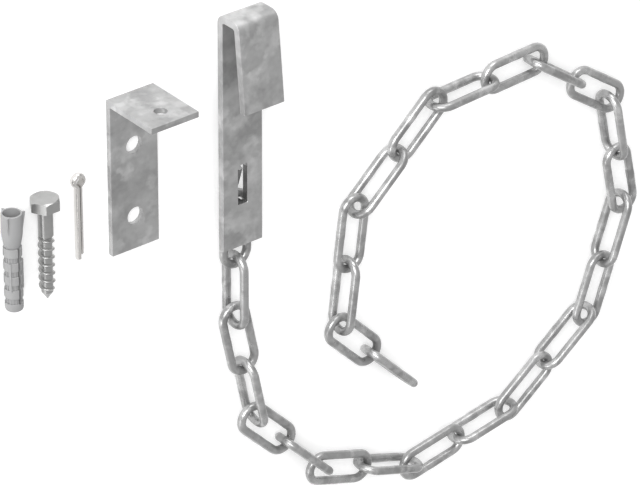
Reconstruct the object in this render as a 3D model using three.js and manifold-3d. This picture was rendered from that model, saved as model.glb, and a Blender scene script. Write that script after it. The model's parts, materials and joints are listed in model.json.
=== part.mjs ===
// Chain guard kit: a hook plate with a long-link chain hung on a lug behind its slot, the wall bracket that
// holds the chain's end, and the bracket's coach screw, wall plug and cotter pin, all lying on one surface.
// Millimetres. +Z is up from the surface, +Y points from the chain to the hook, +X lies across the plate.

import * as THREE from 'three';
import * as BufferGeometryUtils from 'three/addons/utils/BufferGeometryUtils.js';
import Module from 'manifold-3d';

const wasm = await Module();
wasm.setup();

const TOUCH_GAP = 0.3; // between pieces that touch

// Chain: equal links of round wire, lying flat and standing on edge by turns
const WIRE = 5.6;
const LINK_LENGTH = 55.5;
const LINK_WIDTH = 23.6;
const WIRE_SIDES = 8;
const LINK_END_RINGS = 7;
const FIRST_LINK_Y = 8.3; // centre of the first link above the plate's lower end
// Each pair is a flat link and the edgewise link pulled tight behind it. The heading of each pair is in
// degrees from +X, and the slack is how far each following flat link is pushed back along its own heading.
const PAIR_HEADINGS = [-90, -78, -46, -19, 10, 37, 71, 102, 145, 183, 222, 263, 314];
const PAIR_SLACKS = [0, 7.7, 8, 7, 5, 5, 6, 6, 6, 5, 4, 5, 4];

// Hook plate: one flat bar, bent over at its upper end into a hook that opens towards the chain
const BAR_WIDTH = 30;
const BAR_THICKNESS = 5;
const PLATE_HEIGHT = 163.5;
const HOOK_GAP_TOP = 11;
const HOOK_GAP_MOUTH = 17;
const HOOK_DEPTH = 59;
const BEND_RADIUS = 4.2; // at the bar's middle line
const BEND_STEPS = 5;
const SLOT_WIDTH = 7.2;
const SLOT_BOTTOM = 29.4;
const SLOT_TOP = 54.3;
const RELIEF_HEIGHT = 2.6; // notch beside the tongue's root, above the slot
const RELIEF_SLANT = 1.6;
// The slot's blank is cut in two. Its upper part is a narrow tongue, bent a little way back. Its lower part
// is a lug, bent back square, which the first link hangs on.
const TONGUE_LENGTH = 16;
const TONGUE_WIDTH = 3.2;
const TONGUE_ROOT = 1; // overlap with the plate
const TONGUE_ANGLE = 18; // degrees, back from the plate
const LUG_LENGTH = 6.5;
const LUG_WIDTH = 6.6;
const LUG_THICKNESS = 5;
const LUG_CHAMFER = 1.5;

// Wall bracket
const BRACKET_CENTRE_X = -69.8;
const BRACKET_FOOT_Y = 16;
const BRACKET_LENGTH = 106.4;
const BRACKET_WIDTH = 35;
const BRACKET_THICKNESS = 4;
const BRACKET_REACH = 45.5;
const SCREW_HOLE_DIAMETER = 11.5;
const SCREW_HOLES_FROM_TOP = [34.8, 83.7];
const PIN_HOLE_DIAMETER = 8.2;
const PIN_HOLE_FROM_BACK = 31;
const HOLE_SIDES = 20;

// Coach screw, resting on one flat of its head
const SCREW_X = -139.2;
const SCREW_TOP_Y = 77.8;
const SCREW_LENGTH = 69.7;
const HEX_ACROSS_FLATS = 17;
const HEX_HEIGHT = 7;
const HEX_CHAMFER = 1.3;
const SHANK_DIAMETER = 9.3;
const THREAD_CREST_DIAMETER = 10.2;
const THREAD_CORE_DIAMETER = 7.4;
const THREAD_START = 27; // from the top of the head
const THREAD_PITCH = 5.5;
const THREAD_RIDGES = 7;
const THREAD_RISE = 0.42; // share of the pitch before each crest
const THREAD_FALL = 0.2; // share of the pitch after it
const THREAD_RUNOUT = 2; // from the smooth shank down to the core
const HEAD_OVERLAP = 1; // how far the shank reaches into the head
const SCREW_SIDES = 16;
const CHAMFER_SIDES = 36;

// Wall plug
const PLUG_X = -163.5;
const PLUG_TOP_Y = 75.9;
const PLUG_AXIS_HEIGHT = 8.4; // the lowest fin touches the surface
const PLUG_LENGTH = 66;
const PLUG_MOUTH_DIAMETER = 13;
const PLUG_BODY_DIAMETER = 11.4;
const PLUG_GROOVE_DIAMETER = 9.8;
const PLUG_BORE_DIAMETER = 8.6;
const PLUG_BORE_END_DIAMETER = 4.4;
const PLUG_TIP_THICKNESS = 3; // solid end beyond the bore
const PLUG_TIP_CHAMFER = 1.5;
const PLUG_COLLAR_LENGTH = 13; // straight part of the wide mouth
const PLUG_SLEEVE_LENGTH = 22.5;
const PLUG_SLOT_END = 5; // from the slot's end to the tip
const PLUG_RINGS = 5;
const PLUG_RING_PITCH = 9.4;
const PLUG_RING_LENGTH = 6;
const PLUG_SEGMENTS = 3; // as many slots, and as many fins
const PLUG_SLOT_WIDTH = 1.4;
const PLUG_SLOT_TURN = 8; // degrees, turn of the first slot from straight up
const PLUG_FIN_REACH = 8.4; // from the axis
const PLUG_FIN_LENGTH = 13;
const PLUG_FIN_THICKNESS = 1.1;
const PLUG_SIDES = 20;

// Cotter pin, lying on its side
const PIN_X = -111;
const PIN_EYE_Y = 77.1;
const PIN_DIAMETER = 5;
const PIN_EYE_DIAMETER = 9.4;
const PIN_EYE_HOLE = 4.2;
const PIN_LEG_END_Y = 23.1;
const PIN_SHORT_LEG_CUT = 3.4;
const PIN_SPLIT = 0.4;
const PIN_TURN = 5; // degrees, turn of the split about the pin's length
const PIN_SIDES = 16;
const PIN_EYE_SIDES = 20;

const GALVANISED = new THREE.MeshStandardMaterial({ color: 0xb4b6b8, roughness: 0.5, metalness: 0.85 });
const ZINC_PLATED = new THREE.MeshStandardMaterial({ color: 0xb9bbbd, roughness: 0.38, metalness: 0.9 });
const BRIGHT_STEEL = new THREE.MeshStandardMaterial({ color: 0xc2bcb8, roughness: 0.28, metalness: 0.95 });
const GREY_NYLON = new THREE.MeshStandardMaterial({ color: 0xb8b9bb, roughness: 0.55, metalness: 0 });

const radians = THREE.MathUtils.degToRad;

function toSolid(geometry) {
  const bare = geometry.index ? geometry.toNonIndexed() : geometry.clone();
  bare.deleteAttribute('normal');
  bare.deleteAttribute('uv');
  const merged = BufferGeometryUtils.mergeVertices(bare, 1e-4);
  return new wasm.Manifold(new wasm.Mesh({
    numProp: 3,
    vertProperties: new Float32Array(merged.attributes.position.array),
    triVerts: new Uint32Array(merged.index.array),
  }));
}

function toGeometry(solid) {
  const mesh = solid.getMesh();
  const geometry = new THREE.BufferGeometry();
  geometry.setAttribute('position', new THREE.BufferAttribute(mesh.vertProperties, 3));
  geometry.setIndex(new THREE.BufferAttribute(mesh.triVerts, 1));
  geometry.computeVertexNormals();
  return geometry;
}

function piece(name, geometry, material) {
  const mesh = new THREE.Mesh(geometry, material);
  mesh.name = name;
  return mesh;
}

// An outline drawn in the Y-Z plane, as [y, z] points, extruded across X and centred on x = 0.
function extrudeAcross(outline, width) {
  const shape = new THREE.Shape(outline.map(([y, z]) => new THREE.Vector2(y, z)));
  const geometry = new THREE.ExtrudeGeometry(shape, { depth: width, bevelEnabled: false });
  geometry.translate(0, 0, -width / 2);
  geometry.applyMatrix4(new THREE.Matrix4().makeBasis(
    new THREE.Vector3(0, 1, 0),
    new THREE.Vector3(0, 0, 1),
    new THREE.Vector3(1, 0, 0),
  ));
  return geometry;
}

// An upright prism: an outline of [x, y] points, from bottomZ to topZ.
function extrudeUp(outline, bottomZ, topZ) {
  const shape = new THREE.Shape(outline.map(([x, y]) => new THREE.Vector2(x, y)));
  const geometry = new THREE.ExtrudeGeometry(shape, { depth: topZ - bottomZ, bevelEnabled: false });
  return geometry.translate(0, 0, bottomZ);
}

function box(width, depth, height, x, y, z) {
  return new THREE.BoxGeometry(width, depth, height).translate(x, y, z);
}

// A closed profile of [radius, distance from the top] points, turned about a line along Y that starts at
// topY and runs towards -Y.
function turnAlongY(profile, sides, x, topY, z) {
  const points = profile.map(([radius, distance]) => new THREE.Vector2(radius, -distance));
  points.reverse();
  return new THREE.LatheGeometry(points, sides).translate(x, topY, z);
}

// ---- Chain ----

const LINK_HALF = (LINK_LENGTH - WIRE) / 2; // from a link's centre to the middle of its end wire
const END_RADIUS = (LINK_WIDTH - WIRE) / 2;
const STRAIGHT_HALF = LINK_HALF - END_RADIUS;
const TIGHT_REACH = LINK_HALF - WIRE - TOUCH_GAP; // from a link's centre to the next link's end wire
const CHAIN_Z = LINK_WIDTH / 2; // edgewise links stand on the surface
const PLATE_BACK_Z = CHAIN_Z + WIRE / 2 + TOUCH_GAP;

// A flat link along X, centred on the origin: a torus cut in half across X and drawn out to its length.
function flatLink() {
  const rings = 2 * LINK_END_RINGS;
  const geometry = new THREE.TorusGeometry(END_RADIUS, WIRE / 2, WIRE_SIDES, rings);
  const position = geometry.attributes.position;
  const angleStep = Math.PI / (LINK_END_RINGS - 1);
  for (let i = 0; i < position.count; i += 1) {
    const ring = i % (rings + 1) % rings;
    const reach = Math.hypot(position.getX(i), position.getY(i));
    const onRightEnd = ring < LINK_END_RINGS;
    const ringOnEnd = onRightEnd ? ring : ring - LINK_END_RINGS;
    const angle = (onRightEnd ? -Math.PI / 2 : Math.PI / 2) + ringOnEnd * angleStep;
    const shift = onRightEnd ? STRAIGHT_HALF : -STRAIGHT_HALF;
    position.setXY(i, shift + reach * Math.cos(angle), reach * Math.sin(angle));
  }
  geometry.computeVertexNormals();
  return geometry;
}

// The chain is a line of nested groups. Each group's origin is the point that its link swings about: the
// middle of the lug for the first link, and after that the upright middle of the end wire of the edgewise
// link at each contact.
function makeChain() {
  const chain = new THREE.Group();
  const lugMiddleY = SLOT_BOTTOM - LUG_THICKNESS / 2;
  chain.position.set(0, lugMiddleY, CHAIN_Z);
  chain.rotation.z = radians(PAIR_HEADINGS[0]);
  let parent = chain;
  let pivotAhead = TIGHT_REACH;
  PAIR_HEADINGS.forEach((heading, pair) => {
    const number = 2 * pair + 1;
    const flatCentre = pair === 0 ? lugMiddleY - FIRST_LINK_Y : TIGHT_REACH - PAIR_SLACKS[pair];
    if (pair > 0) {
      const swing = new THREE.Group();
      swing.position.x = pivotAhead;
      swing.rotation.z = radians(heading - PAIR_HEADINGS[pair - 1]);
      parent.add(swing);
      parent = swing;
    }
    const flat = flatLink().translate(flatCentre, 0, 0);
    parent.add(piece(`chain_link_${String(number).padStart(2, '0')}`, flat, GALVANISED));

    const swing = new THREE.Group();
    swing.position.x = flatCentre + TIGHT_REACH;
    parent.add(swing);
    parent = swing;
    const edgewise = flatLink().rotateX(Math.PI / 2).translate(LINK_HALF, 0, 0);
    parent.add(piece(`chain_link_${String(number + 1).padStart(2, '0')}`, edgewise, GALVANISED));
    pivotAhead = 2 * LINK_HALF;
  });
  return chain;
}

// ---- Hook plate ----

// The outline of a strip that follows a path of [y, z] corners, each corner bent to BEND_RADIUS.
function bentStripOutline(corners, thickness) {
  const path = corners.map(([y, z]) => new THREE.Vector2(y, z));
  const left = [];
  const right = [];
  const addStation = (point, direction) => {
    const side = new THREE.Vector2(-direction.y, direction.x).multiplyScalar(thickness / 2);
    left.push([point.x + side.x, point.y + side.y]);
    right.unshift([point.x - side.x, point.y - side.y]);
  };
  path.forEach((corner, i) => {
    const before = i > 0 ? corner.clone().sub(path[i - 1]).normalize() : null;
    const after = i < path.length - 1 ? path[i + 1].clone().sub(corner).normalize() : null;
    if (!before || !after) {
      addStation(corner, before || after);
      return;
    }
    const turn = Math.atan2(before.cross(after), before.dot(after));
    const start = corner.clone().addScaledVector(before, -BEND_RADIUS * Math.tan(Math.abs(turn) / 2));
    const towardsCentre = new THREE.Vector2(-before.y, before.x).multiplyScalar(Math.sign(turn));
    const centre = start.clone().addScaledVector(towardsCentre, BEND_RADIUS);
    for (let step = 0; step <= BEND_STEPS; step += 1) {
      const angle = turn * step / BEND_STEPS;
      const direction = before.clone().rotateAround(new THREE.Vector2(), angle);
      addStation(start.clone().rotateAround(centre, angle), direction);
    }
  });
  return [...left, ...right];
}

function makeHookPlate() {
  const plateZ = PLATE_BACK_Z + BAR_THICKNESS / 2;
  const frontZ = PLATE_BACK_Z + BAR_THICKNESS;
  const topY = PLATE_HEIGHT - BAR_THICKNESS / 2;
  const flapTopZ = frontZ + HOOK_GAP_TOP + BAR_THICKNESS / 2;
  const flapEndZ = frontZ + HOOK_GAP_MOUTH + BAR_THICKNESS / 2;
  const outline = bentStripOutline(
    [[0, plateZ], [topY, plateZ], [topY, flapTopZ], [PLATE_HEIGHT - HOOK_DEPTH, flapEndZ]],
    BAR_THICKNESS,
  );
  const bar = toSolid(extrudeAcross(outline, BAR_WIDTH));

  const slotMiddle = (SLOT_BOTTOM + SLOT_TOP) / 2;
  const slotHeight = SLOT_TOP - SLOT_BOTTOM;
  const slot = toSolid(box(SLOT_WIDTH, slotHeight, 3 * BAR_THICKNESS, 0, slotMiddle, plateZ));
  const tongueLeft = TOUCH_GAP - SLOT_WIDTH / 2;
  const tongueRight = tongueLeft + TONGUE_WIDTH;
  const relief = toSolid(extrudeUp(
    [
      [tongueRight, SLOT_TOP - TOUCH_GAP],
      [SLOT_WIDTH / 2, SLOT_TOP - TOUCH_GAP],
      [SLOT_WIDTH / 2, SLOT_TOP + RELIEF_HEIGHT],
      [tongueRight - RELIEF_SLANT, SLOT_TOP + RELIEF_HEIGHT],
      [tongueRight, SLOT_TOP],
    ],
    plateZ - BAR_THICKNESS,
    plateZ + BAR_THICKNESS,
  ));

  // The tongue keeps its root in the bar, swings back about the slot's upper edge, and hangs free below.
  const tongue = box(TONGUE_WIDTH, TONGUE_LENGTH + TONGUE_ROOT, BAR_THICKNESS, 0, 0, 0);
  tongue.translate((tongueLeft + tongueRight) / 2, (TONGUE_ROOT - TONGUE_LENGTH) / 2, 0);
  tongue.rotateX(radians(TONGUE_ANGLE)).translate(0, SLOT_TOP, plateZ);

  // The lug stands square behind the slot's lower edge, with its upper corners taken off to seat the link.
  const halfLug = LUG_WIDTH / 2;
  const lug = extrudeUp(
    [
      [-halfLug, SLOT_BOTTOM - LUG_THICKNESS],
      [halfLug, SLOT_BOTTOM - LUG_THICKNESS],
      [halfLug, SLOT_BOTTOM - LUG_CHAMFER],
      [halfLug - LUG_CHAMFER, SLOT_BOTTOM],
      [LUG_CHAMFER - halfLug, SLOT_BOTTOM],
      [-halfLug, SLOT_BOTTOM - LUG_CHAMFER],
    ],
    PLATE_BACK_Z - LUG_LENGTH,
    plateZ,
  );
  const slotted = bar.subtract(slot).subtract(relief);
  return toGeometry(slotted.add(toSolid(tongue)).add(toSolid(lug)));
}

// ---- Wall bracket ----

function makeBracket() {
  const topY = BRACKET_FOOT_Y + BRACKET_LENGTH;
  const bar = toSolid(extrudeAcross(
    [
      [BRACKET_FOOT_Y, 0],
      [topY, 0],
      [topY, BRACKET_REACH],
      [topY - BRACKET_THICKNESS, BRACKET_REACH],
      [topY - BRACKET_THICKNESS, BRACKET_THICKNESS],
      [BRACKET_FOOT_Y, BRACKET_THICKNESS],
    ],
    BRACKET_WIDTH,
  ));
  const drill = (diameter) => (
    new THREE.CylinderGeometry(diameter / 2, diameter / 2, 3 * BRACKET_THICKNESS, HOLE_SIDES)
  );
  let drilled = bar;
  SCREW_HOLES_FROM_TOP.forEach((distance) => {
    const hole = drill(SCREW_HOLE_DIAMETER).rotateX(Math.PI / 2);
    drilled = drilled.subtract(toSolid(hole.translate(0, topY - distance, BRACKET_THICKNESS / 2)));
  });
  const pinHole = drill(PIN_HOLE_DIAMETER).translate(0, topY - BRACKET_THICKNESS / 2, PIN_HOLE_FROM_BACK);
  drilled = drilled.subtract(toSolid(pinHole));
  return toGeometry(drilled).translate(BRACKET_CENTRE_X, 0, 0);
}

// ---- Coach screw ----

function makeCoachScrew() {
  const axisZ = HEX_ACROSS_FLATS / 2;
  const cornerRadius = HEX_ACROSS_FLATS / Math.sqrt(3);
  const hexagon = new THREE.CylinderGeometry(cornerRadius, cornerRadius, HEX_HEIGHT, 6);
  hexagon.rotateY(Math.PI / 6).translate(SCREW_X, SCREW_TOP_Y - HEX_HEIGHT / 2, axisZ);
  const chamferTurning = turnAlongY(
    [
      [0, 0],
      [HEX_ACROSS_FLATS / 2 - HEX_CHAMFER / 2, 0],
      [cornerRadius, HEX_CHAMFER],
      [cornerRadius, HEX_HEIGHT],
      [0, HEX_HEIGHT],
    ],
    CHAMFER_SIDES,
    SCREW_X,
    SCREW_TOP_Y,
    axisZ,
  );
  const head = toSolid(hexagon).intersect(toSolid(chamferTurning));

  const shank = SHANK_DIAMETER / 2;
  const core = THREAD_CORE_DIAMETER / 2;
  const crestRadius = THREAD_CREST_DIAMETER / 2;
  const profile = [
    [0, HEX_HEIGHT - HEAD_OVERLAP],
    [shank, HEX_HEIGHT - HEAD_OVERLAP],
    [shank, THREAD_START - THREAD_RUNOUT],
  ];
  for (let ridge = 0; ridge < THREAD_RIDGES; ridge += 1) {
    const crest = THREAD_START + (ridge + 0.5) * THREAD_PITCH;
    profile.push([core, crest - THREAD_PITCH * THREAD_RISE]);
    profile.push([crestRadius, crest]);
    profile.push([core, crest + THREAD_PITCH * THREAD_FALL]);
  }
  profile.push([0, SCREW_LENGTH]);
  const stem = toSolid(turnAlongY(profile, SCREW_SIDES, SCREW_X, SCREW_TOP_Y, axisZ));
  return toGeometry(head.add(stem));
}

// ---- Wall plug ----

function makeWallPlug() {
  const axisZ = PLUG_AXIS_HEIGHT;
  const body = PLUG_BODY_DIAMETER / 2;
  const groove = PLUG_GROOVE_DIAMETER / 2;
  const boreDepth = PLUG_LENGTH - PLUG_TIP_THICKNESS;
  const profile = [
    [PLUG_BORE_DIAMETER / 2, 0],
    [PLUG_MOUTH_DIAMETER / 2, 0],
    [PLUG_MOUTH_DIAMETER / 2, PLUG_COLLAR_LENGTH],
  ];
  for (let ring = 0; ring < PLUG_RINGS; ring += 1) {
    const start = PLUG_SLEEVE_LENGTH + ring * PLUG_RING_PITCH;
    profile.push([groove, start]);
    profile.push([body, start]);
    if (ring < PLUG_RINGS - 1) {
      profile.push([body, start + PLUG_RING_LENGTH]);
      profile.push([groove, start + PLUG_RING_LENGTH]);
    }
  }
  profile.push([body, PLUG_LENGTH - PLUG_TIP_CHAMFER]);
  profile.push([body - PLUG_TIP_CHAMFER, PLUG_LENGTH]);
  profile.push([0, PLUG_LENGTH]);
  profile.push([0, boreDepth]);
  profile.push([PLUG_BORE_END_DIAMETER / 2, boreDepth]);
  profile.push([PLUG_BORE_DIAMETER / 2, 0]);
  const sleeve = toSolid(turnAlongY(profile, PLUG_SIDES, PLUG_X, PLUG_TOP_Y, axisZ));
  const slotLength = PLUG_LENGTH - PLUG_SLOT_END - PLUG_SLEEVE_LENGTH;
  const slotMiddleY = PLUG_TOP_Y - PLUG_SLEEVE_LENGTH - slotLength / 2;
  const slotDepth = PLUG_MOUTH_DIAMETER;
  let plug = sleeve;
  for (let segment = 0; segment < PLUG_SEGMENTS; segment += 1) {
    const turn = PLUG_SLOT_TURN + 360 * segment / PLUG_SEGMENTS;
    const slot = box(PLUG_SLOT_WIDTH, slotLength, slotDepth, 0, 0, slotDepth / 2);
    slot.rotateY(radians(turn)).translate(PLUG_X, slotMiddleY, axisZ);
    const fin = extrudeAcross(
      [
        [0, body],
        [0, PLUG_FIN_REACH],
        [-PLUG_FIN_LENGTH, PLUG_MOUTH_DIAMETER / 2],
        [-PLUG_FIN_LENGTH, body],
      ],
      PLUG_FIN_THICKNESS,
    );
    fin.rotateY(radians(turn + 180 / PLUG_SEGMENTS)).translate(PLUG_X, PLUG_TOP_Y, axisZ);
    plug = plug.add(toSolid(fin)).subtract(toSolid(slot));
  }
  return toGeometry(plug);
}

// ---- Cotter pin ----

function makeCotterPin() {
  const eyeRadius = PIN_EYE_DIAMETER / 2;
  const radius = PIN_DIAMETER / 2;
  const eye = new THREE.CylinderGeometry(eyeRadius, eyeRadius, PIN_DIAMETER, PIN_EYE_SIDES);
  eye.rotateX(Math.PI / 2);
  const hole = new THREE.CylinderGeometry(PIN_EYE_HOLE / 2, PIN_EYE_HOLE / 2, 2 * PIN_DIAMETER, PIN_SIDES);
  hole.rotateX(Math.PI / 2);
  const legLength = PIN_EYE_Y - PIN_LEG_END_Y;
  const legs = new THREE.CylinderGeometry(radius, radius, legLength, PIN_SIDES);
  legs.translate(0, -legLength / 2, 0);
  const split = box(PIN_SPLIT, 2 * legLength, 2 * PIN_DIAMETER, 0, -legLength, 0);
  const shortening = box(PIN_DIAMETER, PIN_SHORT_LEG_CUT, 2 * PIN_DIAMETER, PIN_DIAMETER / 2, -legLength, 0);
  const pin = toSolid(eye)
    .add(toSolid(legs))
    .subtract(toSolid(hole))
    .subtract(toSolid(split))
    .subtract(toSolid(shortening));
  return toGeometry(pin);
}

// ---- The whole kit ----

const kit = new THREE.Group();
kit.add(piece('hook_plate', makeHookPlate(), GALVANISED));
kit.add(makeChain());
kit.add(piece('wall_bracket', makeBracket(), GALVANISED));
kit.add(piece('coach_screw', makeCoachScrew(), ZINC_PLATED));
kit.add(piece('wall_plug', makeWallPlug(), GREY_NYLON));

const cotterPin = piece('cotter_pin', makeCotterPin(), BRIGHT_STEEL);
cotterPin.rotation.y = -radians(PIN_TURN);
cotterPin.position.set(PIN_X, PIN_EYE_Y, 0);
cotterPin.position.z = -new THREE.Box3().setFromObject(cotterPin, true).min.z;
kit.add(cotterPin);

// Stand the kit on z = 0 with its bounding box centred on the Z axis.
const bounds = new THREE.Box3().setFromObject(kit, true);
const centre = bounds.getCenter(new THREE.Vector3());
kit.position.set(-centre.x, -centre.y, -bounds.min.z);

export default kit;
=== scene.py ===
import json
from math import atan2, cos, degrees, hypot, pi, radians, sin, sqrt, tan

import bmesh
import bpy
from mathutils import Matrix, Vector


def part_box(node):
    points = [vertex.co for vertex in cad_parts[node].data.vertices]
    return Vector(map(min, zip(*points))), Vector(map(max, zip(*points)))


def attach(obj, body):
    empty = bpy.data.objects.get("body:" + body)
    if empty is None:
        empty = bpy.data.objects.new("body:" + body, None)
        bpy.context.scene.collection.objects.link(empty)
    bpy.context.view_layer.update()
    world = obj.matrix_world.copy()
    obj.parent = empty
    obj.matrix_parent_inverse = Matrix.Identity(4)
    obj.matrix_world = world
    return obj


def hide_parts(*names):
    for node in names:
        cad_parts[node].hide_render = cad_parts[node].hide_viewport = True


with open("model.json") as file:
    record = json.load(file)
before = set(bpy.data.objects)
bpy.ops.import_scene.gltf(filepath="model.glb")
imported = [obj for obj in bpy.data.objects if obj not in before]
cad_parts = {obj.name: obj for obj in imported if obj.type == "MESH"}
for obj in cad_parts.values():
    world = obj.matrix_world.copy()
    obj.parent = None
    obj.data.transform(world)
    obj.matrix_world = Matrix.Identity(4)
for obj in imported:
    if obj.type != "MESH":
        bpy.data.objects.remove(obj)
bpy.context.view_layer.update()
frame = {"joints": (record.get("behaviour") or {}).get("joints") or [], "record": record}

TABLE_SIZE = 12.0
TABLE_DROP = 0.0003  # just below the pieces that stand on it


def new_material(name, roughness):
    material = bpy.data.materials.new(name)
    material.use_nodes = True
    shader = material.node_tree.nodes["Principled BSDF"]
    shader.inputs["Roughness"].default_value = roughness
    return material, shader


bpy.ops.object.select_all(action="DESELECT")
bpy.ops.mesh.primitive_plane_add(size=TABLE_SIZE, location=(0, 0, -TABLE_DROP))
table_top = bpy.context.object
table_top.name = "table_top"
pale_table, table_shader = new_material("pale_table", 0.8)
table_shader.inputs["Base Color"].default_value = (0.92, 0.92, 0.92, 1)
table_shader.inputs["Emission Color"].default_value = (1, 1, 1, 1)
table_shader.inputs["Emission Strength"].default_value = 0.2  # lit a little from below, against shadows
table_top.data.materials.append(pale_table)


def soft_light(name, towards, distance, size, power):
    data = bpy.data.lights.new(name, "AREA")
    data.size = size
    data.energy = power
    light = bpy.data.objects.new(name, data)
    bpy.context.scene.collection.objects.link(light)
    direction = Vector(towards).normalized()
    light.location = direction * distance
    light.rotation_euler = direction.to_track_quat("Z", "Y").to_euler()


soft_light("key_light", (-0.66, 0.56, 0.62), 2.6, 1.6, 54)
soft_light("low_back_light", (0.1, 1.0, 0.16), 2.4, 1.3, 22)
soft_light("low_side_light", (-1.0, -0.25, 0.2), 2.4, 1.2, 12)

room = bpy.data.worlds.new("grey_room")
room.use_nodes = True
room.node_tree.nodes["Background"].inputs["Color"].default_value = (0.68, 0.68, 0.68, 1)
bpy.context.scene.world = room
bpy.context.scene.view_settings.view_transform = "Standard"

CAMERA_FROM_PLATE = Vector((-1.471128, 1.412901, 1.926392))  # from the middle of the plate's lower edge
CAMERA_ANGLES = (-30.585, -38.617, 0.349)  # about X, Y and Z, in degrees
CAMERA_LENS = 255.6  # on a 36 mm sensor

plate_low, plate_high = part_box("hook_plate")
plate_x = (plate_low.x + plate_high.x) / 2
plate_foot_y = plate_low.y

camera_data = bpy.data.cameras.new("camera")
camera_data.lens = CAMERA_LENS
camera_data.sensor_width = 36
camera_data.clip_end = 50
camera = bpy.data.objects.new("camera", camera_data)
camera.location = Vector((plate_x, plate_foot_y, 0)) + CAMERA_FROM_PLATE
camera.rotation_euler = [radians(angle) for angle in CAMERA_ANGLES]
bpy.context.scene.collection.objects.link(camera)
bpy.context.scene.camera = camera

# ---- Chain ----
# Twenty-six links of galvanised round wire. Each is bent from one length, and its butt weld is a faint
# swelling halfway along one side. The first link hangs on the plate's lug, and the rest on each other.

WIRE_SIDES = 28
LINK_END_STEPS = 18
BUTT_WELD_SWELL = 1.045
LINK_SIDE_STEPS = 12  # the butt weld is the middle three of these
MERGE_DISTANCE = 0.000002
SMOOTHING = 40  # degrees, the steepest edge that is still shaded smooth


def start_modelling():
    """Puts the new primitive's place in its mesh and opens it in edit mode, with nothing else selected."""
    new = bpy.context.object
    bpy.ops.object.select_all(action="DESELECT")
    new.select_set(True)
    bpy.context.view_layer.objects.active = new
    bpy.ops.object.transform_apply(location=True, rotation=True, scale=True)
    bpy.ops.object.mode_set(mode="EDIT")
    bpy.ops.mesh.select_all(action="SELECT")
    return new


def finish_modelling(made):
    """Merges what lies together, turns every face outwards and leaves edit mode."""
    bpy.ops.mesh.select_all(action="SELECT")
    bpy.ops.mesh.remove_doubles(threshold=MERGE_DISTANCE)
    bpy.ops.mesh.normals_make_consistent(inside=False)
    bpy.ops.object.mode_set(mode="OBJECT")
    bpy.ops.object.shade_smooth_by_angle(angle=radians(SMOOTHING))
    return made


def extrude(move, resize=None, centre=None):
    """Extrudes the selection by a vector, then scales its new end about a point where that is given."""
    bpy.ops.mesh.extrude_region_move(TRANSFORM_OT_translate={"value": move})
    if resize is not None:
        bpy.ops.transform.resize(value=resize, center_override=centre)


def spin(steps, turn, centre, axis):
    """Sweeps the selection round an axis, in degrees. With no window the operator turns backwards."""
    bpy.ops.mesh.spin(steps=steps, angle=-radians(turn), center=centre, axis=axis)


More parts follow.
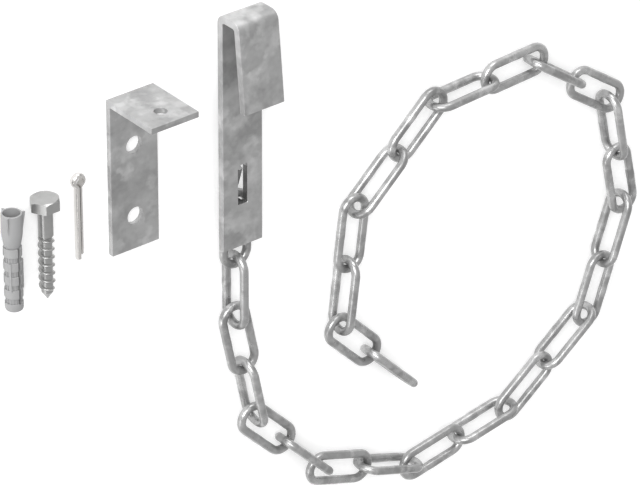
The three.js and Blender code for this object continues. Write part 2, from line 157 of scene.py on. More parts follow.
def soft_spangle_group():
    """Cloudy zinc spangle: soft lighter and darker patches, with their roughness and faint relief."""
    group = bpy.data.node_groups.new("soft_spangle", "ShaderNodeTree")
    for name, kind in (
        ("Dark", "NodeSocketColor"),
        ("Middle", "NodeSocketColor"),
        ("Light", "NodeSocketColor"),
        ("Patches per metre", "NodeSocketFloat"),
        ("Light share", "NodeSocketFloat"),
        ("Roughness", "NodeSocketFloat"),
    ):
        group.interface.new_socket(name=name, in_out="INPUT", socket_type=kind)
    for name, kind in (
        ("Colour", "NodeSocketColor"),
        ("Roughness", "NodeSocketFloat"),
        ("Height", "NodeSocketFloat"),
    ):
        group.interface.new_socket(name=name, in_out="OUTPUT", socket_type=kind)
    nodes, link = group.nodes, group.links.new
    given = nodes.new("NodeGroupInput").outputs
    out = nodes.new("NodeGroupOutput").inputs
    place = nodes.new("ShaderNodeTexCoord").outputs["Object"]

    def maths(operation, first, second, clamp=False):
        node = nodes.new("ShaderNodeMath")
        node.operation = operation
        node.use_clamp = clamp
        for socket, value in zip(node.inputs, (first, second)):
            if isinstance(value, (int, float)):
                socket.default_value = value
            else:
                link(value, socket)
        return node.outputs[0]

    def noise(scale_factor, detail):
        node = nodes.new("ShaderNodeTexNoise")
        link(place, node.inputs["Vector"])
        link(maths("MULTIPLY", given["Patches per metre"], scale_factor), node.inputs["Scale"])
        node.inputs["Detail"].default_value = detail
        return node.outputs

    def mixed(factor, first, second):
        node = nodes.new("ShaderNodeMix")
        node.data_type = "RGBA"
        link(factor, node.inputs["Factor"])
        link(first, node.inputs["A"])
        link(second, node.inputs["B"])
        return node.outputs["Result"]

    # The patches' outlines wander, because a noise pushes aside the place where the cells are looked up.
    centred = nodes.new("ShaderNodeVectorMath")
    centred.operation = "SUBTRACT"
    link(noise(1.3, 3)["Color"], centred.inputs[0])
    centred.inputs[1].default_value = (0.5, 0.5, 0.5)
    push = nodes.new("ShaderNodeVectorMath")
    push.operation = "SCALE"
    link(centred.outputs["Vector"], push.inputs[0])
    link(maths("DIVIDE", 2.2, given["Patches per metre"]), push.inputs["Scale"])
    pushed = nodes.new("ShaderNodeVectorMath")
    pushed.operation = "ADD"
    link(place, pushed.inputs[0])
    link(push.outputs["Vector"], pushed.inputs[1])
    cells = nodes.new("ShaderNodeTexVoronoi")
    cells.feature = "SMOOTH_F1"
    cells.inputs["Smoothness"].default_value = 1.0
    link(pushed.outputs["Vector"], cells.inputs["Vector"])
    link(given["Patches per metre"], cells.inputs["Scale"])
    tones = nodes.new("ShaderNodeSeparateColor")
    link(cells.outputs["Color"], tones.inputs["Color"])

    drift = noise(0.45, 3)["Fac"]
    haze = noise(1.1, 5)["Fac"]
    mottle = noise(3.0, 5)["Fac"]
    cloud = maths("ADD", maths("MULTIPLY", tones.outputs["Red"], 0.5), maths("MULTIPLY", drift, 1.6))
    cloud = maths("ADD", cloud, maths("MULTIPLY", maths("SUBTRACT", mottle, 0.5), 0.5))
    darkness = maths("MULTIPLY", maths("SUBTRACT", cloud, 0.7), 1.6, clamp=True)
    bright = maths("ADD", maths("MULTIPLY", tones.outputs["Green"], 0.6), maths("MULTIPLY", haze, 0.8))
    threshold = maths("SUBTRACT", 1.0, given["Light share"])
    brightness = maths("MULTIPLY", maths("SUBTRACT", bright, threshold), 1.8, clamp=True)
    colour = mixed(brightness, mixed(darkness, given["Middle"], given["Dark"]), given["Light"])
    link(colour, out["Colour"])

    uneven = maths("MULTIPLY", maths("SUBTRACT", mottle, 0.5), 0.25)
    roughness = maths("ADD", given["Roughness"], uneven)
    link(maths("SUBTRACT", roughness, maths("MULTIPLY", brightness, 0.05)), out["Roughness"])
    height = maths("ADD", maths("MULTIPLY", drift, 0.6), maths("MULTIPLY", mottle, 0.4))
    link(maths("ADD", height, maths("MULTIPLY", brightness, 0.15)), out["Height"])
    return group


def galvanised_material(name, greys, patches_per_metre, light_share, roughness, relief):
    """Zinc-coated steel with soft spangle. Its dark, middle and light greys are plain numbers."""
    material, shader = new_material(name, roughness)
    nodes, link = material.node_tree.nodes, material.node_tree.links.new
    shader.inputs["Metallic"].default_value = 0.75
    spangle = nodes.new("ShaderNodeGroup")
    spangle.node_tree = bpy.data.node_groups.get("soft_spangle") or soft_spangle_group()
    for socket_name, grey in zip(("Dark", "Middle", "Light"), greys):
        spangle.inputs[socket_name].default_value = (grey, grey, grey, 1)
    spangle.inputs["Patches per metre"].default_value = patches_per_metre
    spangle.inputs["Light share"].default_value = light_share
    spangle.inputs["Roughness"].default_value = roughness
    bump = nodes.new("ShaderNodeBump")
    bump.inputs["Strength"].default_value = 0.3
    bump.inputs["Distance"].default_value = relief
    link(spangle.outputs["Height"], bump.inputs["Height"])
    link(spangle.outputs["Colour"], shader.inputs["Base Color"])
    link(spangle.outputs["Roughness"], shader.inputs["Roughness"])
    link(bump.outputs["Normal"], shader.inputs["Normal"])
    return material


def finish_piece(piece, name, body, node, material):
    """Names a finished piece, gives it its one material, and ties it to the CAD part it stands for."""
    piece.name = name
    piece.data.materials.clear()
    piece.data.materials.append(material)
    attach(piece, body)
    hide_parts(node)


# The first link lies straight along the plate, so its box gives the size of every link.
first_low, first_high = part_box("chain_link_01")
wire_radius = (first_high.z - first_low.z) / 2
end_radius = (first_high.x - first_low.x) / 2 - wire_radius
straight = (first_high.y - first_low.y) - (first_high.x - first_low.x)

bpy.ops.mesh.primitive_circle_add(
    vertices=WIRE_SIDES,
    radius=wire_radius,
    location=(-straight / 2, -end_radius, 0),
    rotation=(0, pi / 2, 0),
)
link_pattern = start_modelling()
side_step = straight / LINK_SIDE_STEPS
for step in range(LINK_SIDE_STEPS):
    extrude((side_step, 0, 0))
    at_weld = (side_step * (step + 1) - straight / 2, -end_radius, 0)
    if step == LINK_SIDE_STEPS // 2 - 2:
        bpy.ops.transform.resize(value=(1, BUTT_WELD_SWELL, BUTT_WELD_SWELL), center_override=at_weld)
    if step == LINK_SIDE_STEPS // 2:
        shrink = 1 / BUTT_WELD_SWELL
        bpy.ops.transform.resize(value=(1, shrink, shrink), center_override=at_weld)
spin(LINK_END_STEPS, 180, (straight / 2, 0, 0), (0, 0, 1))
extrude((-straight, 0, 0))
spin(LINK_END_STEPS, 180, (-straight / 2, 0, 0), (0, 0, 1))
finish_modelling(link_pattern)

galvanised_wire = galvanised_material("galvanised_wire", (0.26, 0.38, 0.57), 120.0, 0.42, 0.32, 0.0003)
swings = {joint["child"]: joint for joint in frame["joints"] if joint["type"] == "hinge"}
for body, swing in swings.items():
    node = body.replace("link", "chain_link")
    low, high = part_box(node)
    centre = (low + high) / 2
    ahead = centre - Vector(swing["pos_m"])
    heading = Matrix.Rotation(atan2(ahead.y, ahead.x), 4, "Z")
    stands_on_edge = high.z > 1.5 * first_high.z
    tilt = Matrix.Rotation(pi / 2 if stands_on_edge else 0, 4, "X")
    wire_link = link_pattern.copy()
    wire_link.data = link_pattern.data.copy()
    wire_link.data.transform(Matrix.Translation(centre) @ heading @ tilt)
    bpy.context.scene.collection.objects.link(wire_link)
    name = node.replace("chain", "wire")
    finish_piece(wire_link, name, body, node, galvanised_wire)
bpy.data.objects.remove(link_pattern)

# ---- Hook plate ----
# One length of 30 x 5 mm galvanised flat bar, bent over at the top into a hook with a flared mouth. The
# slot's blank is cut in two: a tongue bent a little way back, and a square lug that carries the chain.

BAR_THICKNESS = 0.005
BEND_RADIUS = 0.0042  # at the bar's middle line
BEND_STEPS = 10
HOOK_DEPTH = 0.059
HOOK_GAP_TOP = 0.011
HOOK_GAP_MOUTH = 0.017
SLOT_WIDTH = 0.0072
SLOT_BOTTOM = 0.0294
SLOT_TOP = 0.0543
RELIEF_HEIGHT = 0.0026  # notch beside the tongue's root
RELIEF_SLANT = 0.0016
TONGUE_GAP = 0.0003
TONGUE_LENGTH = 0.016
TONGUE_WIDTH = 0.0032
TONGUE_ROOT = 0.001
TONGUE_ANGLE = 18
LUG_LENGTH = 0.0065
LUG_WIDTH = 0.0066
LUG_CHAMFER = 0.0015
EDGE_ROUNDING = 0.0004
SHARPEST_LEFT = 35  # degrees, an edge sharper than this is rounded
FLAT_SMOOTHING = 30


def select_faces(holds):
    """In edit mode, selects just the faces for which holds(middle, normal) is true."""
    bpy.ops.mesh.select_all(action="DESELECT")
    bpy.ops.mesh.select_mode(type="FACE")
    mesh = bmesh.from_edit_mesh(bpy.context.object.data)
    for face in mesh.faces:
        if holds(face.calc_center_median(), face.normal):
            face.select_set(True)
    bmesh.update_edit_mesh(bpy.context.object.data)


def select_edges(holds):
    """In edit mode, selects just the edges for which holds(first end, second end) is true."""
    bpy.ops.mesh.select_all(action="DESELECT")
    bpy.ops.mesh.select_mode(type="EDGE")
    mesh = bmesh.from_edit_mesh(bpy.context.object.data)
    for edge in mesh.edges:
        if holds(edge.verts[0].co, edge.verts[1].co):
            edge.select_set(True)
    bmesh.update_edit_mesh(bpy.context.object.data)


def box_between(low, high):
    """A block from one corner to the other, opened in edit mode."""
    low, high = Vector(low), Vector(high)
    bpy.ops.mesh.primitive_cube_add(size=1, location=(low + high) / 2, scale=high - low)
    return start_modelling()


def apply_modifier(target, kind, **settings):
    modifier = target.modifiers.new(kind.lower(), kind)
    for setting, value in settings.items():
        setattr(modifier, setting, value)
    bpy.ops.object.select_all(action="DESELECT")
    target.select_set(True)
    bpy.context.view_layer.objects.active = target
    bpy.ops.object.modifier_apply(modifier=modifier.name)


def cut_or_join(target, tool, operation):
    """Cuts the tool out of the target, joins the two, or keeps what they share, and uses up the tool."""
    apply_modifier(target, "BOOLEAN", object=tool, operation=operation, solver="EXACT")
    bpy.data.objects.remove(tool)


def round_edges(target, width):
    """Rounds every edge that is sharper than a shallow bend."""
    angle = radians(SHARPEST_LEFT)
    apply_modifier(target, "BEVEL", width=width, segments=2, limit_method="ANGLE", angle_limit=angle)


hook_mount = next(m for m in frame["record"]["mounts"] if m["name"] == "hook_inside")
front_z = hook_mount["pos_m"][2]
back_z = front_z - BAR_THICKNESS
middle_z = front_z - BAR_THICKNESS / 2
bend_y = plate_high.y - BAR_THICKNESS / 2 - BEND_RADIUS
slot_bottom_y = plate_foot_y + SLOT_BOTTOM
slot_top_y = plate_foot_y + SLOT_TOP
slot_left = plate_x - SLOT_WIDTH / 2
slot_right = plate_x + SLOT_WIDTH / 2

hook_bar = box_between((plate_low.x, plate_foot_y, back_z), (plate_high.x, bend_y, front_z))
for plane_point, plane_normal in (
    ((slot_left, 0, 0), (1, 0, 0)),
    ((slot_right, 0, 0), (1, 0, 0)),
    ((0, slot_bottom_y, 0), (0, 1, 0)),
    ((0, slot_top_y, 0), (0, 1, 0)),
):
    bpy.ops.mesh.select_all(action="SELECT")
    bpy.ops.mesh.bisect(plane_co=plane_point, plane_no=plane_normal)
select_faces(
    lambda middle, normal: abs(normal.z) > 0.5
    and slot_left < middle.x < slot_right
    and slot_bottom_y < middle.y < slot_top_y
)
bpy.ops.mesh.delete(type="FACE")
bpy.ops.mesh.select_mode(type="EDGE")
bpy.ops.mesh.select_all(action="DESELECT")
bpy.ops.mesh.select_non_manifold()
bpy.ops.mesh.bridge_edge_loops()

# The upper end is bent up square, runs up for the gap, is bent back over, and runs down to the mouth.
flare = atan2(HOOK_GAP_MOUTH - HOOK_GAP_TOP, HOOK_DEPTH - BAR_THICKNESS / 2)
return_bend = 90 - degrees(flare)
return_tangent = BEND_RADIUS * tan(radians(return_bend) / 2)
first_centre = (plate_x, bend_y, middle_z + BEND_RADIUS)
rise = HOOK_GAP_TOP + BAR_THICKNESS - BEND_RADIUS - return_tangent
second_bend_z = middle_z + BEND_RADIUS + rise
second_centre = (plate_x, bend_y, second_bend_z)
flap_length = hypot(HOOK_DEPTH - BAR_THICKNESS / 2, HOOK_GAP_MOUTH - HOOK_GAP_TOP) - return_tangent
select_faces(lambda middle, normal: middle.y > bend_y - EDGE_ROUNDING and normal.y > 0.5)
spin(BEND_STEPS, 90, first_centre, (1, 0, 0))
extrude((0, 0, rise))
spin(BEND_STEPS, return_bend, second_centre, (1, 0, 0))
extrude((0, -flap_length * cos(flare), flap_length * sin(flare)))
finish_modelling(hook_bar)

# The notch beside the tongue's root is slanted on the tongue's side.
tongue_left = slot_left + TONGUE_GAP
tongue_right = tongue_left + TONGUE_WIDTH
notch_top = slot_top_y + RELIEF_HEIGHT
notch = box_between(
    (tongue_right, slot_top_y - TONGUE_GAP, back_z - BAR_THICKNESS),
    (slot_right, notch_top, front_z + BAR_THICKNESS),
)
select_edges(
    lambda a, b: abs(a.z - b.z) > BAR_THICKNESS and a.y > slot_top_y and a.x < plate_x
)
bpy.ops.transform.translate(value=(-RELIEF_SLANT, 0, 0))
finish_modelling(notch)
cut_or_join(hook_bar, notch, "DIFFERENCE")
round_edges(hook_bar, EDGE_ROUNDING)

bpy.ops.mesh.primitive_cube_add(
    size=1,
    location=(
        (tongue_left + tongue_right) / 2,
        slot_top_y - (TONGUE_LENGTH - TONGUE_ROOT) / 2 * cos(radians(TONGUE_ANGLE)),
        middle_z - (TONGUE_LENGTH - TONGUE_ROOT) / 2 * sin(radians(TONGUE_ANGLE)),
    ),
    rotation=(radians(TONGUE_ANGLE), 0, 0),
    scale=(TONGUE_WIDTH, TONGUE_LENGTH + TONGUE_ROOT, BAR_THICKNESS),
)
tongue = finish_modelling(start_modelling())
round_edges(tongue, EDGE_ROUNDING)
cut_or_join(hook_bar, tongue, "UNION")

lug = box_between(
    (plate_x - LUG_WIDTH / 2, slot_bottom_y - BAR_THICKNESS, back_z - LUG_LENGTH),
    (plate_x + LUG_WIDTH / 2, slot_bottom_y, middle_z),
)
select_edges(lambda a, b: abs(a.z - b.z) > LUG_LENGTH / 2 and a.y > slot_bottom_y - EDGE_ROUNDING)
bpy.ops.mesh.bevel(offset=LUG_CHAMFER, segments=4)
finish_modelling(lug)
round_edges(lug, EDGE_ROUNDING)
cut_or_join(hook_bar, lug, "UNION")
bpy.ops.object.shade_smooth_by_angle(angle=radians(FLAT_SMOOTHING))

galvanised_plate = galvanised_material("galvanised_plate", (0.29, 0.4, 0.57), 85.0, 0.42, 0.42, 0.0003)
finish_piece(hook_bar, "hook_bar", "hook", "hook_plate", galvanised_plate)

# Painted shade: the slot's punched walls and the tongue get a darker copy of the zinc, standing in for the
# shade inside the slot.
slot_painted_shade = galvanised_material("galvanised_slot_wall", (0.15, 0.21, 0.28), 120.0, 0.3, 0.5, 0.0003)
hook_bar.data.materials.append(slot_painted_shade)
# The faces inside the slot, behind the front face, take the painted shade.
for face in hook_bar.data.polygons:
    across = slot_left - TONGUE_GAP < face.center.x < slot_right + TONGUE_GAP
    along = slot_bottom_y - TONGUE_GAP < face.center.y < slot_top_y
    below_front = face.center.z < front_z - 1.5 * EDGE_ROUNDING
    if across and along and below_front and face.normal.z > -0.5:
        face.material_index = 1

# ---- Wall bracket ----
# A piece of galvanised angle, screwed to the wall through two holes. The chain's end link is laid on its
# shelf, and the cotter pin through the shelf's hole keeps it there.

ANGLE_THICKNESS = 0.004
SCREW_HOLE_RADIUS = 0.00575
SCREW_HOLES_FROM_TOP = (0.0348, 0.0837)
PIN_HOLE_RADIUS = 0.0041
PIN_HOLE_FROM_BACK = 0.031
HOLE_SIDES = 48

bracket_low, bracket_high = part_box("wall_bracket")
bracket_x = (bracket_low.x + bracket_high.x) / 2
shelf_y = bracket_high.y - ANGLE_THICKNESS
angle_piece = box_between(
    bracket_low, (bracket_high.x, bracket_high.y, bracket_low.z + ANGLE_THICKNESS)
)
bpy.ops.mesh.bisect(plane_co=(0, shelf_y, 0), plane_no=(0, 1, 0))
select_faces(lambda middle, normal: normal.z > 0.5 and middle.y > shelf_y)
extrude((0, 0, bracket_high.z - bracket_low.z - ANGLE_THICKNESS))
finish_modelling(angle_piece)


def drill(target, radius, centre, turn):
    """Drills a round hole through the angle, from a point in its thickness."""
    bpy.ops.mesh.primitive_cylinder_add(
        vertices=HOLE_SIDES, radius=radius, depth=3 * ANGLE_THICKNESS, location=centre, rotation=turn
    )
    cut_or_join(target, finish_modelling(start_modelling()), "DIFFERENCE")


for distance in SCREW_HOLES_FROM_TOP:
    hole_centre = (bracket_x, bracket_high.y - distance, bracket_low.z + ANGLE_THICKNESS / 2)
    drill(angle_piece, SCREW_HOLE_RADIUS, hole_centre, (0, 0, 0))
pin_hole_centre = (bracket_x, bracket_high.y - ANGLE_THICKNESS / 2, bracket_low.z + PIN_HOLE_FROM_BACK)
drill(angle_piece, PIN_HOLE_RADIUS, pin_hole_centre, (pi / 2, 0, 0))
round_edges(angle_piece, EDGE_ROUNDING)
bpy.ops.object.shade_smooth_by_angle(angle=radians(FLAT_SMOOTHING))
finish_piece(
    angle_piece, "bracket_angle", "bracket", "wall_bracket", galvanised_plate
)

# ---- Coach screw ----
# A 10 mm coach screw, cold headed and thread rolled, then zinc plated. A smooth shank runs from the
# chamfered hexagon head to a coarse thread on a thinner core, which ends in a plain point.

ACROSS_FLATS = 0.017
HEAD_HEIGHT = 0.007
HEAD_CHAMFER = 0.0013
CHAMFER_OVERSHOOT = 0.00015
HEAD_TOP_RADIUS = 0.0081
HEAD_RING_RADIUS = 0.0048  # shallow dish left by the header
HEAD_RING_DEPTH = 0.00015
FLUSH = 0.000001  # keeps two stations apart where a turned shape steps straight down
SHANK_RADIUS = 0.00465
CORE_RADIUS = 0.0037
CREST_RADIUS = 0.0051
SHANK_END = 0.0255  # this and the six below it are distances from the top of the head
CORE_START = 0.0267
THREAD_START = 0.0245
THREAD_FULL = 0.028
THREAD_FADE = 0.061
THREAD_END = 0.066
POINT_START = 0.0641
THREAD_PITCH = 0.0055
THREAD_TURNS = 7
THREAD_STEPS = 40  # in each turn
RIDGE_FOOT = 0.0024
RIDGE_CREST = 0.0007
RIDGE_ROUNDING = 0.0003
RIDGE_ROOT = 0.0006  # how deep the ridge's section reaches into the core
ENVELOPE_START_DEPTH = 0.0005
ENVELOPE_CLEARANCE = 0.0001
TURNED_SIDES = 64
TURNED_SMOOTHING = 32  # degrees
SLIVER = 0.000004


def turning(stations, axis_x, top_y, axis_z):
    """A solid turned about a line along Y, from (radius, distance below the top) stations."""
    radius, distance = stations[0]
    bpy.ops.mesh.primitive_circle_add(
        vertices=TURNED_SIDES,
        radius=radius,
        fill_type="NGON",
        location=(axis_x, top_y - distance, axis_z),
        rotation=(pi / 2, 0, 0),
    )
    turned = start_modelling()
    for next_radius, next_distance in stations[1:]:
        ratio = next_radius / radius
        station = (axis_x, top_y - next_distance, axis_z)
        extrude((0, distance - next_distance, 0), (ratio, ratio, ratio), station)
        radius, distance = next_radius, next_distance
    return finish_modelling(turned)


screw_low, screw_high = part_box("coach_screw")
screw_x = (screw_low.x + screw_high.x) / 2
screw_z = (screw_low.z + screw_high.z) / 2
screw_top_y = screw_high.y
screw_length = screw_high.y - screw_low.y

bpy.ops.mesh.primitive_cylinder_add(
    vertices=6,
    radius=ACROSS_FLATS / sqrt(3),
    depth=HEAD_HEIGHT,
    location=(screw_x, screw_top_y - HEAD_HEIGHT / 2, screw_z),
    rotation=(pi / 2, pi / 6, 0),
)
screw = finish_modelling(start_modelling())
chamfer = turning(
    (
        (HEAD_RING_RADIUS - 2 * HEAD_RING_DEPTH, HEAD_RING_DEPTH),
        (HEAD_RING_RADIUS, FLUSH),
        (HEAD_TOP_RADIUS, 0),
        (ACROSS_FLATS / sqrt(3) + CHAMFER_OVERSHOOT, HEAD_CHAMFER),
        (ACROSS_FLATS / sqrt(3) + CHAMFER_OVERSHOOT, HEAD_HEIGHT + HEAD_CHAMFER),
    ),
    screw_x,
    screw_top_y,
    screw_z,
)
cut_or_join(screw, chamfer, "INTERSECT")

shank = turning(
    (
        (SHANK_RADIUS, HEAD_HEIGHT - HEAD_CHAMFER),
        (SHANK_RADIUS, SHANK_END),
        (CORE_RADIUS, CORE_START),
        (CORE_RADIUS, POINT_START),
        (CORE_RADIUS * 0.5, (POINT_START + screw_length) / 2),
        (0, screw_length),
    ),
    screw_x,
    screw_top_y,
    screw_z,
)

# The ridge's section is swept along the screw line, then trimmed so that it grows out of the shank and
# fades into the point.
bpy.ops.mesh.primitive_plane_add(size=1, location=(0, 0, 0))
ridge = start_modelling()
ridge_height = CREST_RADIUS - CORE_RADIUS + RIDGE_ROOT
bpy.ops.transform.resize(value=(ridge_height, RIDGE_FOOT, 1), center_override=(0, 0, 0))
bpy.ops.transform.translate(value=(CREST_RADIUS - ridge_height / 2, 0, 0))
select_edges(lambda a, b: min(a.x, b.x) > CORE_RADIUS)
bpy.ops.transform.resize(value=(1, RIDGE_CREST / RIDGE_FOOT, 1), center_override=(0, 0, 0))
bpy.ops.mesh.bevel(offset=RIDGE_ROUNDING, segments=3, affect="VERTICES")
bpy.ops.mesh.select_all(action="SELECT")
bpy.ops.mesh.delete(type="ONLY_FACE")
bpy.ops.object.mode_set(mode="OBJECT")
apply_modifier(
    ridge,
    "SCREW",
    axis="Y",
    angle=2 * pi,
    screw_offset=-THREAD_PITCH,
    iterations=THREAD_TURNS,
    steps=THREAD_STEPS,
    render_steps=THREAD_STEPS,
)
bpy.ops.object.mode_set(mode="EDIT")
bpy.ops.mesh.select_all(action="SELECT")
bpy.ops.mesh.fill_holes(sides=0)
bpy.ops.mesh.select_all(action="SELECT")
bpy.ops.transform.translate(value=(screw_x, screw_top_y - THREAD_START, screw_z))
finish_modelling(ridge)
envelope = turning(
    (
        (CORE_RADIUS - ENVELOPE_START_DEPTH, THREAD_START - RIDGE_FOOT),
        (CORE_RADIUS, THREAD_START),
        (CREST_RADIUS + ENVELOPE_CLEARANCE, THREAD_FULL),
        (CREST_RADIUS + ENVELOPE_CLEARANCE, THREAD_FADE),
        (CORE_RADIUS * 0.5, THREAD_END),
    ),
    screw_x,
    screw_top_y,
    screw_z,
)
cut_or_join(ridge, envelope, "INTERSECT")
cut_or_join(screw, shank, "UNION")
cut_or_join(screw, ridge, "UNION")


def close_up():
    """Merges the slivers that joins and rounding leave in the active piece, and smooths it again."""
    bpy.ops.object.mode_set(mode="EDIT")
    bpy.ops.mesh.select_all(action="SELECT")
    bpy.ops.mesh.remove_doubles(threshold=SLIVER)
    bpy.ops.mesh.dissolve_degenerate(threshold=SLIVER / 2)
    bpy.ops.object.mode_set(mode="OBJECT")
    bpy.ops.object.shade_smooth_by_angle(angle=radians(TURNED_SMOOTHING))


close_up()


def fine_grain_group():
    """Even microscopic grain: a value about 0.5 that wanders, and a fast one for relief."""
    group = bpy.data.node_groups.new("fine_grain", "ShaderNodeTree")
    group.interface.new_socket(name="Grains per metre", in_out="INPUT", socket_type="NodeSocketFloat")
    group.interface.new_socket(name="Cloud", in_out="OUTPUT", socket_type="NodeSocketFloat")
    group.interface.new_socket(name="Grain", in_out="OUTPUT", socket_type="NodeSocketFloat")
    nodes, link = group.nodes, group.links.new
    given = nodes.new("NodeGroupInput").outputs
    out = nodes.new("NodeGroupOutput").inputs
    place = nodes.new("ShaderNodeTexCoord").outputs["Object"]
    for name, share, detail in (("Cloud", 0.12, 3), ("Grain", 1.0, 1)):
        scale = nodes.new("ShaderNodeMath")
        scale.operation = "MULTIPLY"
        link(given["Grains per metre"], scale.inputs[0])
        scale.inputs[1].default_value = share
        noise = nodes.new("ShaderNodeTexNoise")
        noise.inputs["Detail"].default_value = detail
        link(place, noise.inputs["Vector"])
        link(scale.outputs[0], noise.inputs["Scale"])
        link(noise.outputs["Fac"], out[name])
    return group


def grained_material(name, dark, light, metallic, roughness, roughness_range, grains_per_metre, relief):
    """A plain finish whose colour and roughness wander a little, with a fine relief."""
    material, shader = new_material(name, roughness)
    nodes, link = material.node_tree.nodes, material.node_tree.links.new
    shader.inputs["Metallic"].default_value = metallic
    grain = nodes.new("ShaderNodeGroup")
    grain.node_tree = bpy.data.node_groups.get("fine_grain") or fine_grain_group()
    grain.inputs["Grains per metre"].default_value = grains_per_metre
    tone = nodes.new("ShaderNodeMix")
    tone.data_type = "RGBA"
    tone.inputs["A"].default_value = (*dark, 1)
    tone.inputs["B"].default_value = (*light, 1)
    link(grain.outputs["Cloud"], tone.inputs["Factor"])
    link(tone.outputs["Result"], shader.inputs["Base Color"])
    gloss = nodes.new("ShaderNodeMapRange")
    gloss.inputs["From Min"].default_value = 0.3
    gloss.inputs["From Max"].default_value = 0.7
    gloss.inputs["To Min"].default_value = roughness - roughness_range
    gloss.inputs["To Max"].default_value = roughness + roughness_range
    link(grain.outputs["Cloud"], gloss.inputs["Value"])
    link(gloss.outputs["Result"], shader.inputs["Roughness"])
    bump = nodes.new("ShaderNodeBump")
    bump.inputs["Strength"].default_value = 0.25
    bump.inputs["Distance"].default_value = relief
    link(grain.outputs["Grain"], bump.inputs["Height"])
    link(bump.outputs["Normal"], shader.inputs["Normal"])
    return material


zinc_plated = grained_material(
    "zinc_plated_screw", (0.31, 0.31, 0.307), (0.41, 0.41, 0.406), 0.85, 0.32, 0.05, 1500.0, 0.000008
)
finish_piece(screw, "hexagon_coach_screw", "screw", "coach_screw", zinc_plated)

# ---- Wall plug ----
# Expanding plug, moulded in grey nylon. A wide mouth carries three small fins that stop it turning in the
# wall, and three slots let the ringed part below it spread when the screw goes in.

MOUTH_RADIUS = 0.0065
RING_RADIUS = 0.0057
GROOVE_RADIUS = 0.0047
BORE_RADIUS = 0.0054
BORE_NECK_RADIUS = 0.0032
BORE_END_RADIUS = 0.0022
BORE_OVERSHOOT = 0.001
BORE_FLOOR = 0.003
RIM_ROUNDING = 0.00025
RIB_ROOT = 0.0006  # how deep a rib reaches into the plug's wall
MOUTH_LENGTH = 0.0125
SHOULDER_LENGTH = 0.003
SHOULDER_NARROWING = 0.0003
SLEEVE_LENGTH = 0.0225
SLEEVE_FOOT = 0.0004
RING_PITCH = 0.0094
RING_LENGTH = 0.006
RING_STEP = 0.00001  # keeps a ring's side from being quite square to the axis
RINGS = 5
PLUG_TIP = ((0, 0.002), (0.0004, 0.0008), (0.0012, 0.0002), (0.0022, 0))  # narrowing, from the end
PLUG_SEGMENTS = 3
PLUG_SLOT_WIDTH = 0.0018
PLUG_SLOT_TURN = 8  # degrees, turn of the first slot from straight up
PLUG_SLOT_END = 0.005
FIN_REACH = 0.0084
FIN_WIDTH = 0.0016
FIN_TIP_SHARE = 0.25  # width of a fin's outer edge against its foot
FIN_LENGTH = 0.013
GROOVE_RIB_WIDTH = 0.0009
GROOVE_RIBS = 18
GROOVE_RIB_HEIGHT = 0.0004
CENTRE_RIB_WIDTH = 0.0013
CENTRE_RIB_HEIGHT = 0.0005

plug_low, plug_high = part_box("wall_plug")
plug_top_y = plug_high.y
plug_length = plug_high.y - plug_low.y
plug_z = plug_low.z + FIN_REACH * cos(radians(PLUG_SLOT_TURN))
plug_x = plug_high.x - FIN_REACH * sin(radians(PLUG_SLOT_TURN + 180 / PLUG_SEGMENTS))
plug_axis = Vector((plug_x, plug_top_y, plug_z))

stations = [
    (MOUTH_RADIUS - RIM_ROUNDING, 0),
    (MOUTH_RADIUS, RIM_ROUNDING),
    (MOUTH_RADIUS, MOUTH_LENGTH),
    (MOUTH_RADIUS - SHOULDER_NARROWING, MOUTH_LENGTH + SHOULDER_LENGTH),
    (GROOVE_RADIUS + SLEEVE_FOOT, SLEEVE_LENGTH - 2 * SLEEVE_FOOT),
    (GROOVE_RADIUS, SLEEVE_LENGTH),
]
for ring in range(RINGS):
    ring_top = SLEEVE_LENGTH + ring * RING_PITCH
    stations.append((RING_RADIUS - RIM_ROUNDING, ring_top + RING_STEP))
    stations.append((RING_RADIUS, ring_top + RIM_ROUNDING))
    if ring < RINGS - 1:
        stations.append((RING_RADIUS, ring_top + RING_LENGTH - RIM_ROUNDING))
        stations.append((RING_RADIUS - RIM_ROUNDING, ring_top + RING_LENGTH))
        stations.append((GROOVE_RADIUS, ring_top + RING_LENGTH + RING_STEP))
        stations.append((GROOVE_RADIUS, ring_top + RING_PITCH))
for narrowing, from_end in PLUG_TIP:
    stations.append((RING_RADIUS - narrowing, plug_length - from_end))
plug = turning(stations, plug_x, plug_top_y, plug_z)


def about_plug(tool, turn):
    """Turns a tool, modelled at the world's middle and pointing up, about the plug's axis into its place."""
    tool.data.transform(Matrix.Translation(plug_axis) @ Matrix.Rotation(radians(turn), 4, "Y"))
    return tool


# Shallow upright ribs in the four grooves, and one long rib down the middle of the second and third rings.
for rib in range(GROOVE_RIBS):
    turn = PLUG_SLOT_TURN + (rib + 0.5) * 360 / GROOVE_RIBS
    groove_rib = box_between(
        (-GROOVE_RIB_WIDTH / 2, -SLEEVE_LENGTH - 4.1 * RING_PITCH, GROOVE_RADIUS - RIB_ROOT),
        (GROOVE_RIB_WIDTH / 2, -SLEEVE_LENGTH - RING_LENGTH / 2, GROOVE_RADIUS + GROOVE_RIB_HEIGHT),
    )
    finish_modelling(groove_rib)
    cut_or_join(plug, about_plug(groove_rib, turn), "UNION")

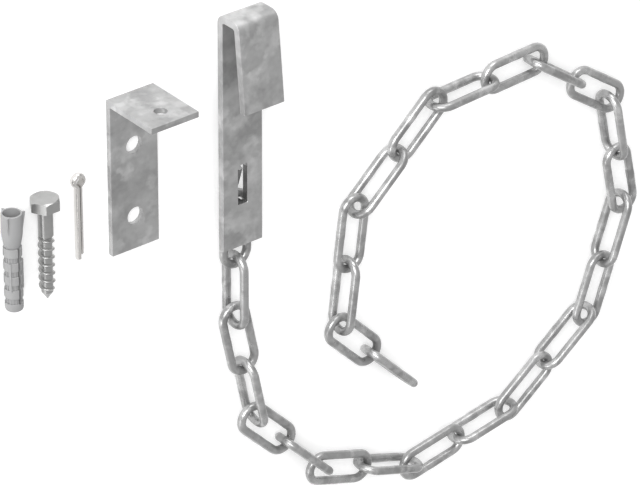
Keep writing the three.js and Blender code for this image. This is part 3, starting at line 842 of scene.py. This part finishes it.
for segment in range(PLUG_SEGMENTS):
    slot_turn = PLUG_SLOT_TURN + 360 * segment / PLUG_SEGMENTS
    middle_turn = slot_turn + 180 / PLUG_SEGMENTS
    fin = box_between(
        (-FIN_WIDTH / 2, -FIN_LENGTH, RING_RADIUS), (FIN_WIDTH / 2, 0, FIN_REACH)
    )
    select_edges(lambda a, b: min(a.z, b.z) > MOUTH_RADIUS and abs(a.y - b.y) > FIN_LENGTH / 2)
    bpy.ops.transform.resize(value=(FIN_TIP_SHARE, 1, 1), center_override=(0, 0, 0))
    select_edges(lambda a, b: min(a.z, b.z) > MOUTH_RADIUS and max(a.y, b.y) < -FIN_LENGTH / 2)
    bpy.ops.transform.translate(value=(0, 0, MOUTH_RADIUS - FIN_REACH))
    finish_modelling(fin)
    cut_or_join(plug, about_plug(fin, middle_turn), "UNION")
    centre_rib = box_between(
        (-CENTRE_RIB_WIDTH / 2, -SLEEVE_LENGTH - 3.1 * RING_PITCH, GROOVE_RADIUS - RIB_ROOT),
        (CENTRE_RIB_WIDTH / 2, -SLEEVE_LENGTH - RING_PITCH, RING_RADIUS + CENTRE_RIB_HEIGHT),
    )
    finish_modelling(centre_rib)
    cut_or_join(plug, about_plug(centre_rib, middle_turn), "UNION")
    slot_tool = box_between(
        (-PLUG_SLOT_WIDTH / 2, PLUG_SLOT_END - plug_length, 0),
        (PLUG_SLOT_WIDTH / 2, -SLEEVE_LENGTH, 2 * MOUTH_RADIUS),
    )
    finish_modelling(slot_tool)
    cut_or_join(plug, about_plug(slot_tool, slot_turn), "DIFFERENCE")

bore = turning(
    (
        (BORE_RADIUS, -BORE_OVERSHOOT),
        (BORE_RADIUS, RIM_ROUNDING),
        (BORE_NECK_RADIUS, SLEEVE_LENGTH),
        (BORE_END_RADIUS, plug_length - BORE_FLOOR),
    ),
    plug_x,
    plug_top_y,
    plug_z,
)
cut_or_join(plug, bore, "DIFFERENCE")
bpy.ops.object.shade_smooth_by_angle(angle=radians(TURNED_SMOOTHING))

grey_nylon = grained_material(
    "grey_nylon", (0.25, 0.25, 0.252), (0.29, 0.29, 0.292), 0.0, 0.45, 0.06, 900.0, 0.00005
)
finish_piece(plug, "nylon_plug", "plug", "wall_plug", grey_nylon)

# ---- Cotter pin ----
# Split pin of bright half-round wire, its flat side inwards. The wire is bent round an eye, and the two
# legs lie back to back, one of them a little shorter.

PIN_RADIUS = 0.0026
PIN_SPLIT = 0.0005
PIN_EYE_REACH = 0.005
PIN_EYE_FROM_TOP = 0.0047
PIN_NECK_RADIUS = 0.003
PIN_TURN = 5  # degrees, turn of the split about the pin's length
PIN_LENGTH = 0.054  # from the middle of the eye to the end of the longer leg
PIN_SHORT_LEG_CUT = 0.0034
PIN_TIP = 0.001  # rounding of the legs' ends
PIN_TIP_SHARE = 0.6  # size of a leg's end against the leg
PIN_EDGE_ROUNDING = 0.0002
PIN_WIRE_SIDES = 40
PIN_EYE_STEPS = 40
PIN_NECK_STEPS = 8

eye_flat = PIN_EYE_REACH - (PIN_RADIUS - PIN_SPLIT / 2)
neck_x = PIN_NECK_RADIUS + PIN_SPLIT / 2
neck_y = -sqrt((PIN_NECK_RADIUS + eye_flat) ** 2 - neck_x**2)
neck_bend = degrees(atan2(-neck_y, neck_x))
eye_bend = 360 - 2 * (90 - neck_bend)

bpy.ops.mesh.primitive_circle_add(
    vertices=PIN_WIRE_SIDES,
    radius=PIN_RADIUS,
    fill_type="NGON",
    location=(0, -PIN_LENGTH, 0),
    rotation=(pi / 2, 0, 0),
)
cotter = start_modelling()
bpy.ops.mesh.bisect(plane_co=(PIN_SPLIT / 2, 0, 0), plane_no=(1, 0, 0), clear_inner=True, use_fill=False)
bpy.ops.mesh.select_all(action="SELECT")
leg_middle_x = PIN_RADIUS / 2
bpy.ops.transform.resize(value=(PIN_TIP_SHARE, 1, PIN_TIP_SHARE), center_override=(leg_middle_x, 0, 0))
extrude((0, PIN_TIP, 0), (1 / PIN_TIP_SHARE, 1, 1 / PIN_TIP_SHARE), (leg_middle_x, 0, 0))
extrude((0, PIN_LENGTH + neck_y - PIN_TIP, 0))
spin(PIN_NECK_STEPS, neck_bend, (neck_x, neck_y, 0), (0, 0, -1))
spin(PIN_EYE_STEPS, eye_bend, (0, 0, 0), (0, 0, 1))
spin(PIN_NECK_STEPS, neck_bend, (-neck_x, neck_y, 0), (0, 0, -1))
extrude((0, PIN_SHORT_LEG_CUT + PIN_TIP - PIN_LENGTH - neck_y, 0))
extrude((0, -PIN_TIP, 0), (PIN_TIP_SHARE, 1, PIN_TIP_SHARE), (-leg_middle_x, 0, 0))
finish_modelling(cotter)
round_edges(cotter, PIN_EDGE_ROUNDING)
pin_low, pin_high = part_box("cotter_pin")
pin_middle = (pin_low + pin_high) / 2
pin_eye = Vector((pin_middle.x, pin_high.y - PIN_EYE_FROM_TOP, pin_middle.z))
cotter.data.transform(Matrix.Translation(pin_eye) @ Matrix.Rotation(radians(180 - PIN_TURN), 4, "Y"))
close_up()

bright_steel = grained_material(
    "bright_steel", (0.6, 0.585, 0.57), (0.68, 0.665, 0.65), 0.9, 0.24, 0.04, 1800.0, 0.000002
)
finish_piece(cotter, "split_cotter_pin", "pin", "cotter_pin", bright_steel)
